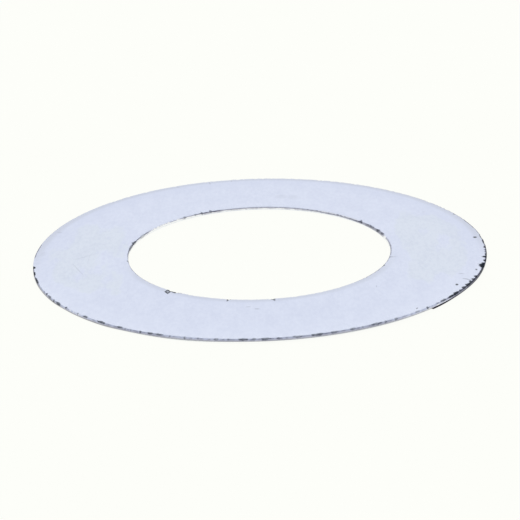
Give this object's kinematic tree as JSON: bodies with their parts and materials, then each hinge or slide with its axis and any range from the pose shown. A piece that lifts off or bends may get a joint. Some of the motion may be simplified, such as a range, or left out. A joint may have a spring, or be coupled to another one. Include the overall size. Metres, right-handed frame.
{
  "type": "shim ring",
  "caption": "Thin flat punched-steel shim ring that slides over a shaft and packs out the gap between two flat faces.",
  "frame": {"origin": "centre of the bore, in the plane of the bottom face that the ring lies on", "axes": "+Z along the bore axis, from the face with the rolled-over corners to the face with the sharp, nicked corners; +X and +Y lie in the plane of the ring, and angles to the nicks are counted from +X towards +Y"},
  "size_m": [0.045, 0.045, 0.0003],
  "materials": {
    "bright_steel": "bright satin strip with a thin bluish zinc finish, cut edges left grey and matt"
  },
  "bodies": {
    "root": {"shim_ring": "bright_steel"}
  },
  "joints": []
}
